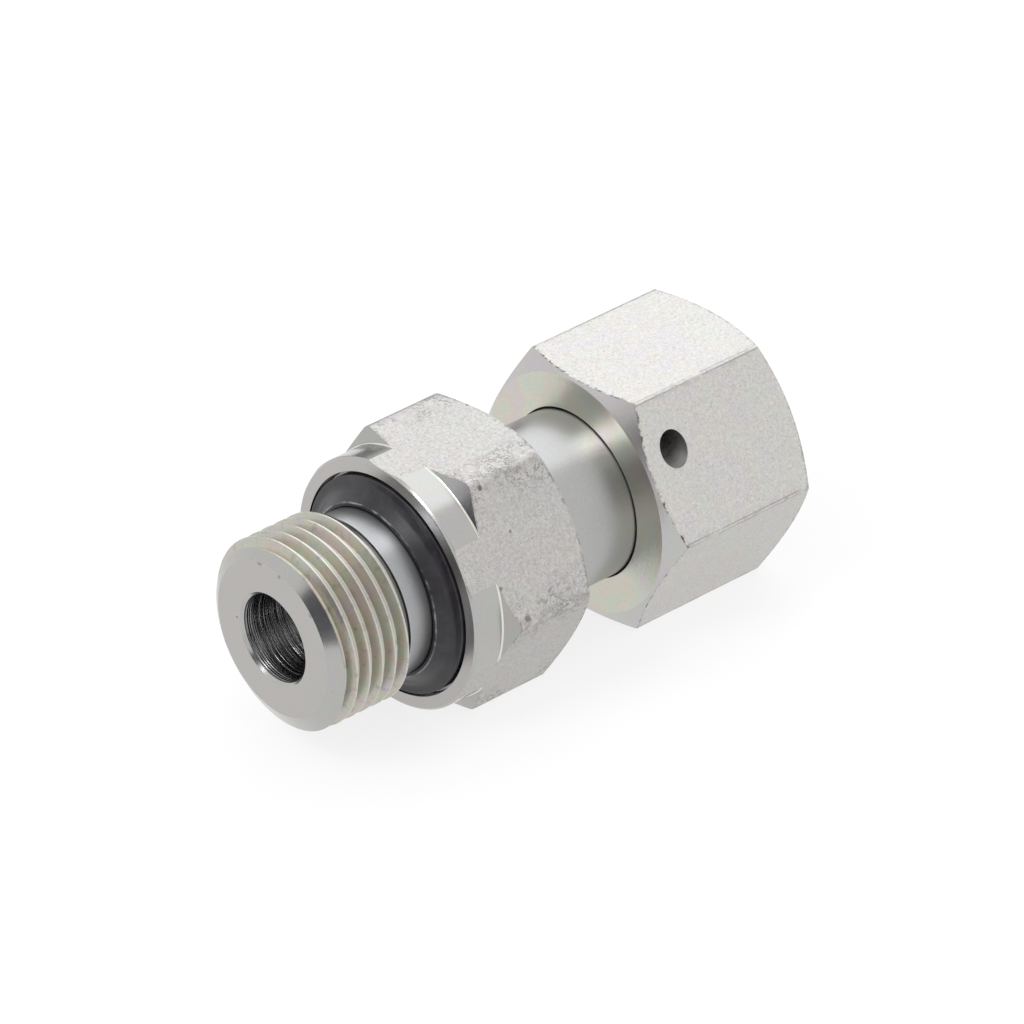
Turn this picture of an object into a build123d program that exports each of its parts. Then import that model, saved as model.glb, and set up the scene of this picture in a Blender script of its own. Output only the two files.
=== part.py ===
"""Straight stud coupling with a swivel union nut, in millimetres.

The axis lies along X: the port stud points to -X and the swivel nut to +X. The origin is on the axis,
in the plane of the collar's sealing face. +Z is up, and both hexagons have a flat at the bottom.
"""

import os
from math import asin, atan, cos, degrees, hypot, radians, sin, sqrt, tan

from build123d import *

# Port stud: parallel pipe thread G3/8, with a neck behind it for the seal
thread_diameter = 16.662
thread_pitch = 1.337
thread_depth = 0.640327 * thread_pitch
stud_length = 12.0
stud_end_drop = 0.65
stud_chamfer_angle = 60.0
undercut_width = 4.2
undercut_drop = 0.23
thread_back_chamfer = 0.3
bore_diameter = 7.7
bore_mouth_chamfer = 0.25

# Turned collar with the recess that holds the seal
collar_diameter = 22.1
collar_width = 2.85
collar_edge_chamfer = 0.25
recess_diameter = 19.6
recess_depth = 1.0

# Nut thread, metric fine M18 x 1.5, and the wall left over it in the middle of a flat
nut_thread_diameter = 18.0
nut_thread_pitch = 1.5
nut_wall = 1.875

# Hexagons: 22 mm spanner size, drawn bar that runs a little under its nominal size
across_flats = nut_thread_diameter + 2 * nut_wall
shoulder_angle = 30.0
body_length = 12.0
body_corner_radius = 0.9
body_ring_diameter = 21.4

# Neck between the body and the nut
neck_diameter = 14.88
neck_root_radius = 0.8
exposed_neck = 8.5

# Swivel nut
nut_length = 16.0
nut_thread_minor = nut_thread_diameter - 1.0825 * nut_thread_pitch
nut_corner_radius = 0.25
nut_back_ring_diameter = 21.3
nut_front_ring_diameter = 20.4
nut_running_gap = 0.1
nut_land_length = 4.6
nut_relief_width = 1.0
nut_relief_depth = 0.15
nut_mouth_angle = 45.0

# Retaining wire, wound into the groove shared by the neck and the nut
wire_diameter = 1.8
wire_gap = 0.05
wire_from_nut_back = 3.2
wire_sweep = 330.0
wire_bend_radius = 1.0
wire_hook_length = 2.3
wire_hook_angle = 300.0
hook_hole_diameter = 2.6
hook_hole_reserve = 0.3

# Wire hole in a side flat of the nut, tangent to the groove
wire_hole_diameter = 2.7
wire_hole_offset = 1.6
wire_hole_flat_angle = 150.0

# Cone nose, 24 degrees, with the O-ring near its tip
cone_half_angle = 12.0
nose_recess = 4.0
nose_length = 7.35
nose_tip_chamfer = 0.4
ring_section = 1.45
ring_groove_width = 2.0
ring_groove_from_tip = 0.9
ring_stand = 0.12
seat_gap = 0.02

# Port seal: a rubber ring with a raised inner lip
seal_side_gap = 0.25
seal_lip_height = 1.3
seal_lip_land = 0.3
seal_lip_slope_width = 1.1
seal_rim_height = 0.15
seal_rim_edge = 0.12

# Places along the axis, from the sealing face
stud_end = -stud_length
undercut_start = -undercut_width
collar_back = collar_width
body_back = body_length
nut_back = body_back + exposed_neck
nut_front = nut_back + nut_length
wire_place = nut_back + wire_from_nut_back
nose_tip = nut_front - nose_recess
cone_start = nose_tip - nose_length

# Radii from the axis
thread_radius = thread_diameter / 2
thread_root_radius = thread_radius - thread_depth
stud_end_radius = thread_root_radius - stud_end_drop
undercut_radius = thread_root_radius - undercut_drop
bore_radius = bore_diameter / 2
collar_radius = collar_diameter / 2
recess_radius = recess_diameter / 2
apothem = across_flats / 2
beyond_corner = across_flats * 0.6
body_ring_radius = body_ring_diameter / 2
neck_radius = neck_diameter / 2
nut_bore_radius = neck_radius + nut_running_gap
nut_minor_radius = nut_thread_minor / 2
nut_major_radius = nut_thread_diameter / 2
nut_relief_radius = nut_major_radius + nut_relief_depth
wire_radius = wire_diameter / 2
wire_ring_radius = (neck_radius + nut_bore_radius) / 2
wire_groove_radius = wire_radius + wire_gap
seal_inner_radius = undercut_radius + seat_gap
seal_outer_radius = recess_radius - seal_side_gap


def slope_run(rise, angle):
    """Length along the axis in which a cone of this angle to the axis rises by `rise`."""
    return rise / tan(radians(angle))


# How far a 30 degree shoulder runs along the axis for each millimetre of radius
shoulder_run = tan(radians(shoulder_angle))
cone_slope = tan(radians(cone_half_angle))
nose_tip_radius = neck_radius - nose_length * cone_slope

# O-ring groove: the ring stands a little proud of the cone at the groove's middle
ring_place = nose_tip - ring_groove_from_tip - ring_groove_width / 2
ring_cone_radius = neck_radius - (ring_place - cone_start) * cone_slope
ring_outer_radius = ring_cone_radius + ring_stand
ring_centre_radius = ring_outer_radius - ring_section / 2
ring_groove_floor = ring_centre_radius - ring_section / 2 - seat_gap

# Stud body, the blank: a hexagon bar with slightly rounded corners
with BuildPart() as stud_body:
    with BuildSketch(Plane.YZ.offset(stud_end)) as body_bar:
        RegularPolygon(radius=apothem, side_count=6, major_radius=False)
        fillet(body_bar.vertices(), radius=body_corner_radius)
    extrude(amount=stud_length + nose_tip)

    # All that the lathe leaves: stud, undercut, recess, collar, hexagon shoulders, neck and nose
    with BuildSketch(Plane.XZ) as turned:
        with BuildLine():
            Polyline(
                (stud_end, 0),
                (stud_end, stud_end_radius),
                (stud_end + slope_run(thread_radius - stud_end_radius, stud_chamfer_angle), thread_radius),
                (undercut_start - thread_back_chamfer, thread_radius),
                (undercut_start, thread_radius - thread_back_chamfer),
                (undercut_start, undercut_radius),
                (recess_depth, undercut_radius),
                (recess_depth, recess_radius),
                (0, recess_radius),
                (0, collar_radius - collar_edge_chamfer),
                (collar_edge_chamfer, collar_radius),
                (collar_back, collar_radius),
                (collar_back + (beyond_corner - collar_radius) * shoulder_run, beyond_corner),
                (body_back - (beyond_corner - body_ring_radius) * shoulder_run, beyond_corner),
                (body_back, body_ring_radius),
                (body_back, neck_radius),
                (cone_start, neck_radius),
                (nose_tip, nose_tip_radius),
                (nose_tip, 0),
                close=True,
            )
        make_face()
        neck_root = turned.vertices().sort_by(Axis.X).filter_by(
            lambda corner: abs(corner.X - body_back) < 0.01 and abs(corner.Z - neck_radius) < 0.01
        )
        fillet(neck_root, radius=neck_root_radius)
    revolve(axis=Axis.X, mode=Mode.INTERSECT)

    # Tip of the nose, broken before the bore is opened
    tip_edge = stud_body.faces().sort_by(Axis.X)[-1].edges()
    chamfer(tip_edge, length=nose_tip_chamfer)

    # Flow bore, right through
    with BuildSketch(Plane.XZ):
        with BuildLine():
            Polyline(
                (stud_end, 0),
                (stud_end, bore_radius + bore_mouth_chamfer),
                (stud_end + bore_mouth_chamfer, bore_radius),
                (nose_tip - bore_mouth_chamfer, bore_radius),
                (nose_tip, bore_radius + bore_mouth_chamfer),
                (nose_tip, 0),
                close=True,
            )
        make_face()
    revolve(axis=Axis.X, mode=Mode.SUBTRACT)

    # Groove for the O-ring, square to the axis
    with BuildSketch(Plane.XZ):
        with Locations((ring_place, ring_groove_floor)):
            Rectangle(ring_groove_width, neck_radius, align=(Align.CENTER, Align.MIN))
    revolve(axis=Axis.X, mode=Mode.SUBTRACT)

    # Round groove for the wire, and the hole that takes its hook
    with BuildSketch(Plane.XZ):
        with Locations((wire_place, wire_ring_radius)):
            Circle(wire_groove_radius)
    revolve(axis=Axis.X, mode=Mode.SUBTRACT)
    hook_plane = Plane(
        origin=(wire_place, 0, 0),
        x_dir=(1, 0, 0),
        z_dir=(0, cos(radians(wire_hook_angle)), sin(radians(wire_hook_angle))),
    )
    hook_floor = wire_ring_radius - wire_hook_length - hook_hole_reserve
    with BuildSketch(hook_plane.offset(hook_floor)):
        Circle(hook_hole_diameter / 2)
    extrude(amount=wire_ring_radius - hook_floor, mode=Mode.SUBTRACT)

# Swivel nut: hexagon bar with both ends turned to a 30 degree shoulder
with BuildPart() as union_nut:
    with BuildSketch(Plane.YZ.offset(nut_back)) as nut_bar:
        RegularPolygon(radius=apothem, side_count=6, major_radius=False)
        fillet(nut_bar.vertices(), radius=nut_corner_radius)
    extrude(amount=nut_length)
    with BuildSketch(Plane.XZ):
        with BuildLine():
            Polyline(
                (nut_back, 0),
                (nut_back, nut_back_ring_diameter / 2),
                (nut_back + (beyond_corner - nut_back_ring_diameter / 2) * shoulder_run, beyond_corner),
                (nut_front - (beyond_corner - nut_front_ring_diameter / 2) * shoulder_run, beyond_corner),
                (nut_front, nut_front_ring_diameter / 2),
                (nut_front, 0),
                close=True,
            )
        make_face()
    revolve(axis=Axis.X, mode=Mode.INTERSECT)

    # Inside: running land on the neck, cone to the thread relief, thread core and its mouth
    land_end = nut_back + nut_land_length
    relief_start = land_end + slope_run(nut_relief_radius - nut_bore_radius, nut_mouth_angle)
    relief_end = relief_start + nut_relief_width
    core_start = relief_end + slope_run(nut_relief_radius - nut_minor_radius, nut_mouth_angle)
    with BuildSketch(Plane.XZ):
        with BuildLine():
            Polyline(
                (nut_back, 0),
                (nut_back, nut_bore_radius),
                (land_end, nut_bore_radius),
                (relief_start, nut_relief_radius),
                (relief_end, nut_relief_radius),
                (core_start, nut_minor_radius),
                (nut_front - slope_run(nut_major_radius - nut_minor_radius, nut_mouth_angle), nut_minor_radius),
                (nut_front, nut_major_radius),
                (nut_front, 0),
                close=True,
            )
        make_face()
    revolve(axis=Axis.X, mode=Mode.SUBTRACT)

    # The nut's half of the wire groove
    with BuildSketch(Plane.XZ):
        with Locations((wire_place, wire_ring_radius)):
            Circle(wire_groove_radius)
    revolve(axis=Axis.X, mode=Mode.SUBTRACT)

    # Wire hole: it starts on a side flat and runs tangent to the middle of the groove
    hole_reach = hypot(apothem, wire_hole_offset)
    hole_slant = degrees(asin(wire_ring_radius / hole_reach) - atan(wire_hole_offset / apothem))
    hole_run = sqrt(hole_reach**2 - wire_ring_radius**2)
    flat_angle = radians(wire_hole_flat_angle)
    hole_angle = radians(wire_hole_flat_angle + hole_slant)
    hole_mouth = (
        wire_place,
        apothem * cos(flat_angle) + wire_hole_offset * sin(flat_angle),
        apothem * sin(flat_angle) - wire_hole_offset * cos(flat_angle),
    )
    hole_plane = Plane(origin=hole_mouth, x_dir=(1, 0, 0), z_dir=(0, cos(hole_angle), sin(hole_angle)))
    with BuildSketch(hole_plane.offset(-hole_run)):
        Circle(wire_hole_diameter / 2)
    extrude(amount=2 * hole_run, mode=Mode.SUBTRACT)

# Retaining wire: one turn in the groove, with an end bent inwards that hooks into the neck
hook_angle = radians(wire_hook_angle)
bend_ring_radius = wire_ring_radius - wire_bend_radius
bend_shift = asin(wire_bend_radius / bend_ring_radius)
bend_angle = hook_angle + bend_shift
hook_end_radius = wire_ring_radius - wire_hook_length
hook_bend_radius = bend_ring_radius * cos(bend_shift)
with BuildPart() as retaining_wire:
    with BuildLine(Plane.YZ.offset(wire_place)) as wire_path:
        hook = Line(
            (hook_end_radius * cos(hook_angle), hook_end_radius * sin(hook_angle)),
            (hook_bend_radius * cos(hook_angle), hook_bend_radius * sin(hook_angle)),
        )
        CenterArc(
            (bend_ring_radius * cos(bend_angle), bend_ring_radius * sin(bend_angle)),
            wire_bend_radius,
            wire_hook_angle - 90,
            90 + degrees(bend_shift),
        )
        CenterArc((0, 0), wire_ring_radius, degrees(bend_angle), wire_sweep)
    with BuildSketch(Plane(origin=hook @ 0, z_dir=hook % 0)):
        Circle(wire_radius)
    sweep(path=wire_path.wires()[0])

# O-ring on the nose
with BuildPart() as cone_o_ring:
    with BuildSketch(Plane.XZ):
        with Locations((ring_place, ring_centre_radius)):
            Circle(ring_section / 2)
    revolve(axis=Axis.X)

# Port seal: flat rim in the recess, sloping up to a lip that grips the undercut
with BuildPart() as stud_seal:
    lip_outer = seal_inner_radius + seal_lip_land
    slope_foot = lip_outer + seal_lip_slope_width
    with BuildSketch(Plane.XZ):
        with BuildLine():
            Polyline(
                (recess_depth, seal_inner_radius),
                (-seal_lip_height, seal_inner_radius),
                (-seal_lip_height, lip_outer),
                (-seal_rim_height, slope_foot),
                (-seal_rim_height, seal_outer_radius - seal_rim_edge),
                (-seal_rim_height + seal_rim_edge, seal_outer_radius),
                (recess_depth, seal_outer_radius),
                close=True,
            )
        make_face()
    revolve(axis=Axis.X)

os.makedirs("parts", exist_ok=True)

stud_body.part.label = "stud_body"
export_step(stud_body.part, "parts/stud_body.step")
union_nut.part.label = "union_nut"
export_step(union_nut.part, "parts/union_nut.step")
retaining_wire.part.label = "retaining_wire"
export_step(retaining_wire.part, "parts/retaining_wire.step")
cone_o_ring.part.label = "cone_o_ring"
export_step(cone_o_ring.part, "parts/cone_o_ring.step")
stud_seal.part.label = "stud_seal"
export_step(stud_seal.part, "parts/stud_seal.step")
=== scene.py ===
"""Looks of a straight stud coupling with a swivel union nut.

The coupling lies along X: the threaded port stud points to -X and the swivel nut to +X. Pieces are
modelled in millimetres on the CAD frame's axes and brought to metres when they are finished.
"""

import logging
from collections.abc import Callable
from dataclasses import dataclass
from enum import Enum, IntEnum
from math import asin, atan, cos, degrees, hypot, pi, radians, sin, sqrt, tan
from typing import TypeVar

import bmesh
import bpy
from mathutils import Matrix, Vector


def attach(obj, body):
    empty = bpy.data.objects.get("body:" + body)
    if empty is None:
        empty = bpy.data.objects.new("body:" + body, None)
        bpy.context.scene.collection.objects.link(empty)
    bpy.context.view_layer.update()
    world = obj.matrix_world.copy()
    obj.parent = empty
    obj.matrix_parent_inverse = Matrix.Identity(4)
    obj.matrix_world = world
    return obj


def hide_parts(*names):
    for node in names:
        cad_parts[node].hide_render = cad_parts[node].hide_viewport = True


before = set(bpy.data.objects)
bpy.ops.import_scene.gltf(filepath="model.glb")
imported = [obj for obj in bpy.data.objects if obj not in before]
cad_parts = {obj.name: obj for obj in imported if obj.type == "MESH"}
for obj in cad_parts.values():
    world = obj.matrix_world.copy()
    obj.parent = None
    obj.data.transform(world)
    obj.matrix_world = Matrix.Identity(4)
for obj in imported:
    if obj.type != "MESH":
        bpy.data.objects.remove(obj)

logging.basicConfig(level=logging.INFO, format="%(message)s")
log = logging.getLogger("coupling")

METRES = 0.001
PER_METRE = 1000.0
# Points nearer than this are one point, and faces thinner than this are slivers, in millimetres
DOUBLE = 0.0005
SLIVER = 0.0005
# How far a cutting shape reaches past what it cuts, in millimetres
OVERSHOOT = 1.0
# The turned shoulders of both hexagons go this far along the axis for each step outwards
SHOULDER_SLOPE = tan(radians(30.0))
# A face lies along the axis where its normal leans to it by less than ALONG, and faces an end
# where it leans by more than END_ON
ALONG = 0.02
END_ON = 0.95

Colour = tuple[float, float, float]
Point = tuple[float, float]
Region = TypeVar("Region", bound=IntEnum)

WHITE: Colour = (1.0, 1.0, 1.0)
BRUISE: Colour = (0.13, 0.125, 0.12)
PAINTED_GLINT: Colour = (0.95, 0.94, 0.90)
SOIL_AND_PAINTED_SHADE: Colour = (0.15, 0.15, 0.15)
PAINTED_CREST_HIGHLIGHT: Colour = (0.72, 0.72, 0.69)
DUST_AND_HIGHLIGHT: Colour = (0.32, 0.31, 0.33)
RAINBOW: list[tuple[float, Colour]] = [
    (0.36, (0.93, 0.90, 1.00)),
    (0.44, (1.00, 0.86, 0.83)),
    (0.50, (1.00, 0.96, 0.80)),
    (0.57, (0.86, 1.00, 0.85)),
    (0.64, (0.95, 0.92, 0.94)),
]


# Shader maths


class Term:
    """A number carried by a shader socket, with the arithmetic that the finishes use."""

    def __init__(self, sheet: "NodeSheet", socket: bpy.types.NodeSocket) -> None:
        """Wraps an output socket of a node on the sheet."""
        self.sheet = sheet
        self.socket = socket

    def _math(self, operation: str, *values: "Term | float") -> "Term":
        """Adds one Math node with this term among its inputs."""
        inputs = {place: value for place, value in enumerate(values)}
        return self.sheet.node("ShaderNodeMath", {"operation": operation}, inputs).out(0)

    def __add__(self, other: "Term | float") -> "Term":
        """This term plus another."""
        return self._math("ADD", self, other)

    __radd__ = __add__

    def __sub__(self, other: "Term | float") -> "Term":
        """This term less another."""
        return self._math("SUBTRACT", self, other)

    def __rsub__(self, other: "Term | float") -> "Term":
        """Another number less this term."""
        return self._math("SUBTRACT", other, self)

    def __mul__(self, other: "Term | float") -> "Term":
        """This term times another."""
        return self._math("MULTIPLY", self, other)

    __rmul__ = __mul__

    def __pow__(self, other: "Term | float") -> "Term":
        """This term raised to a power."""
        return self._math("POWER", self, other)

    def __abs__(self) -> "Term":
        """This term without its sign."""
        return self._math("ABSOLUTE", self)

    def sine(self) -> "Term":
        """Sine of this term in radians."""
        return self._math("SINE", self)

    def root(self) -> "Term":
        """Square root of this term."""
        return self._math("SQRT", self)

    def most(self, other: "Term | float") -> "Term":
        """The larger of two terms."""
        return self._math("MAXIMUM", self, other)

    def rise(self, start: float, end: float) -> "Term":
        """Goes smoothly from 0 at `start` to 1 at `end`.

        Args:
            start: Value of this term where the rise begins.
            end: Value of this term where the rise is complete. It may be the smaller one.

        Returns:
            The smooth step as a term.
        """
        low, high, flip = (start, end, False) if start < end else (end, start, True)
        step = self.sheet.node(
            "ShaderNodeMapRange",
            {"interpolation_type": "SMOOTHSTEP"},
            {"Value": self, "From Min": low, "From Max": high},
        ).out("Result")
        return 1.0 - step if flip else step


class Placed:
    """A node on a sheet, whose outputs are read by name or number."""

    def __init__(self, sheet: "NodeSheet", node: bpy.types.Node) -> None:
        """Wraps a node that has just been added."""
        self.sheet = sheet
        self.node = node

    def out(self, name: str | int) -> Term:
        """The output of this name or number as a term."""
        return Term(self.sheet, self.node.outputs[name])


@dataclass(frozen=True)
class Spot:
    """A point of a surface in the object's own coordinates.

    The vector is in metres, as textures read it. The rest is in millimetres, and the radius is the
    distance from the X axis.
    """

    vector: Term
    x: Term
    y: Term
    z: Term
    radius: Term


class NodeSheet:
    """The node tree of one material or world, and the one method that adds nodes to it."""

    def __init__(self, tree: bpy.types.NodeTree) -> None:
        """Clears the tree, ready for new nodes."""
        self.tree = tree
        tree.nodes.clear()

    def node(self, kind: str, settings: dict | None = None, inputs: dict | None = None) -> Placed:
        """Adds a node, sets it and feeds it.

        Args:
            kind: The node's type, such as ShaderNodeMath.
            settings: Properties of the node, set first. "stops" fills a colour ramp.
            inputs: Values or terms for the sockets, by name or number.

        Returns:
            The placed node.
        """
        node = self.tree.nodes.new(kind)
        for name, value in (settings or {}).items():
            if name == "stops":
                self._fill_ramp(node.color_ramp, value)
            else:
                setattr(node, name, value)
        for name, value in (inputs or {}).items():
            self.feed(node.inputs[name], value)
        return Placed(self, node)

    def feed(self, socket: bpy.types.NodeSocket, value: "Term | float | tuple") -> None:
        """Links a term to a socket, or sets the socket to a constant.

        Args:
            socket: The input socket.
            value: A term, a number, a vector or a colour.
        """
        if isinstance(value, Term):
            self.tree.links.new(value.socket, socket)
        elif isinstance(value, tuple) and socket.type == "RGBA":
            socket.default_value = (*value, 1.0)
        else:
            socket.default_value = value

    @staticmethod
    def _fill_ramp(ramp: bpy.types.ColorRamp, stops: list[tuple[float, Colour]]) -> None:
        """Gives a colour ramp its stops.

        Args:
            ramp: The ramp of a new node.
            stops: Place and colour of each stop, in order.
        """
        while len(ramp.elements) < len(stops):
            ramp.elements.new(1.0)
        for element, (place, colour) in zip(ramp.elements, stops):
            element.position = place
            element.color = (*colour, 1.0)

    def spot(self) -> Spot:
        """Reads the object's own coordinates.

        Returns:
            The point of the surface, on which the patterns are laid.
        """
        vector = self.node("ShaderNodeTexCoord").out("Object")
        parts = self.node("ShaderNodeSeparateXYZ", inputs={0: vector})
        x, y, z = (parts.out(axis) * PER_METRE for axis in ("X", "Y", "Z"))
        return Spot(vector, x, y, z, (y * y + z * z).root())

    def noise(self, vector: Term, per_mm: float, detail: float = 2.0, roughness: float = 0.5) -> Term:
        """A noise texture.

        Args:
            vector: Coordinate vector in metres.
            per_mm: How many bumps there are to a millimetre.
            detail: Octaves of the noise.
            roughness: How much the fine octaves count.

        Returns:
            The noise, about 0.5 on average.
        """
        scale = per_mm * PER_METRE
        inputs = {"Vector": vector, "Scale": scale, "Detail": detail, "Roughness": roughness}
        return self.node("ShaderNodeTexNoise", {"noise_dimensions": "3D"}, inputs).out(0)

    def stretched(self, vector: Term, scale: tuple[float, float, float]) -> Term:
        """The coordinates with each axis scaled, so that a pattern is drawn out."""
        return self.node("ShaderNodeMapping", inputs={"Vector": vector, "Scale": scale}).out(0)

    def ramp(self, factor: Term, stops: list[tuple[float, Colour]]) -> Term:
        """A colour picked along a ramp."""
        return self.node("ShaderNodeValToRGB", {"stops": stops}, {0: factor}).out("Color")

    def mix(
        self,
        factor: "Term | float",
        first: "Term | Colour",
        second: "Term | Colour",
        blend: str = "MIX",
    ) -> Term:
        """Mixes two colours.

        Args:
            factor: 0 shows the first colour and 1 the second.
            first: A colour or a colour term.
            second: A colour or a colour term.
            blend: The Mix node's blend type.

        Returns:
            The mixed colour.
        """
        settings = {"data_type": "RGBA", "blend_type": blend}
        return self.node("ShaderNodeMix", settings, {0: factor, 6: first, 7: second}).out(2)

    def bump(self, height: Term, depth_mm: float, under: Term | None = None) -> Term:
        """Turns a height into a bumped normal.

        Args:
            height: The height, from 0 to 1.
            depth_mm: What a height of 1 stands for.
            under: A normal that is bumped already, if there is one.

        Returns:
            The bumped normal.
        """
        inputs = {"Height": height, "Distance": depth_mm * METRES}
        if under is not None:
            inputs["Normal"] = under
        return self.node("ShaderNodeBump", inputs=inputs).out(0)

    def show(self, shader: Placed) -> None:
        """Sends a shader to the material's output."""
        self.node("ShaderNodeOutputMaterial", inputs={"Surface": shader.out(0)})


def blank_material(name: str) -> tuple[bpy.types.Material, NodeSheet]:
    """Makes a material without nodes.

    Args:
        name: The material's name.

    Returns:
        The material and the empty sheet of its nodes.
    """
    made = bpy.data.materials.new(name)
    made.use_nodes = True
    return made, NodeSheet(made.node_tree)


# Finishes


class Lay(Enum):
    """How the lathe's marks lie on a turned surface."""

    AROUND = "rings along the axis, on a cylinder"
    FACED = "rings by radius, on a face"


@dataclass(frozen=True)
class Rings:
    """The lathe's marks: how they lie, their width and depth in mm, and how much they shade the metal."""

    lay: Lay = Lay.AROUND
    width: float = 0.09
    depth: float = 0.002
    shade: float = 0.4


@dataclass(frozen=True)
class Mark:
    """A small dark pit or smudge at a place on the surface, in millimetres."""

    x: float
    y: float
    z: float
    radius: float
    depth: float = 1.0

    def cover(self, spot: Spot, ragged: Term) -> Term:
        """How much the mark covers a point.

        Args:
            spot: The point of the surface.
            ragged: A fine noise that makes the mark's outline uneven.

        Returns:
            0 outside the mark and its depth inside.
        """
        away = ((spot.x - self.x) ** 2.0 + (spot.y - self.y) ** 2.0 + (spot.z - self.z) ** 2.0).root()
        uneven = away + (ragged - 0.5) * (1.6 * self.radius)
        return uneven.rise(self.radius, self.radius * 0.35) * self.depth


@dataclass(frozen=True)
class Edge:
    """An edge where a turned shoulder starts on the bar.

    Its place is given along X and by radius. Inward is 1 or -1, for the way the shoulder goes in
    from there, and bruise is how dark its nicks are.
    """

    x: float
    radius: float
    inward: float
    bruise: float


@dataclass(frozen=True)
class Finish:
    """What all finishes share: a name, a colour and how rough the surface is."""

    name: str
    colour: Colour
    roughness: float

    def material(self) -> bpy.types.Material:
        """Makes the material and feeds its shader with what the finish draws.

        Returns:
            The finished material.
        """
        made, sheet = blank_material(self.name)
        made.diffuse_color = (*self.colour, 1.0)
        shader = sheet.node("ShaderNodeBsdfPrincipled")
        sheet.show(shader)
        for name, value in self.draw(sheet, sheet.spot()).items():
            sheet.feed(shader.node.inputs[name], value)
        return made

    def draw(self, sheet: NodeSheet, spot: Spot) -> dict[str, Term | float]:
        """What goes into the shader, by socket. Each finish has its own way."""
        raise NotImplementedError


@dataclass(frozen=True)
class Zinc(Finish):
    """What the zinc finishes share: a thin rainbow film, and marks placed one by one."""

    film: float = 0.12
    marks: tuple[Mark, ...] = ()

    def marked(self, wear: Term, spot: Spot, ragged: Term, strength: float) -> Term:
        """Adds the finish's marks to its wear.

        Args:
            wear: The wear so far.
            spot: The point of the surface.
            ragged: A fine noise that makes the marks' outlines uneven.
            strength: How much the marks show.

        Returns:
            The wear with the marks.
        """
        for mark in self.marks:
            wear = wear.most(mark.cover(spot, ragged) * strength)
        return wear

    def plated(self, sheet: NodeSheet, uneven: Term, swing: float, hue: Term) -> Term:
        """The metal's colour under its film.

        Args:
            sheet: The node sheet to draw on.
            uneven: Where the metal is dark, 0, and where it is light, 1.
            swing: How far dark and light are from the finish's colour, as a share of it.
            hue: What picks the film's colour along the rainbow.

        Returns:
            The colour.
        """
        shades = (1.0 - swing, 1.0 + swing)
        dark, light = (tuple(shade * part for part in self.colour) for shade in shades)
        film = sheet.mix(self.film, WHITE, sheet.ramp(hue, RAINBOW))
        return sheet.mix(1.0, sheet.mix(uneven, dark, light), film, "MULTIPLY")


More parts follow.
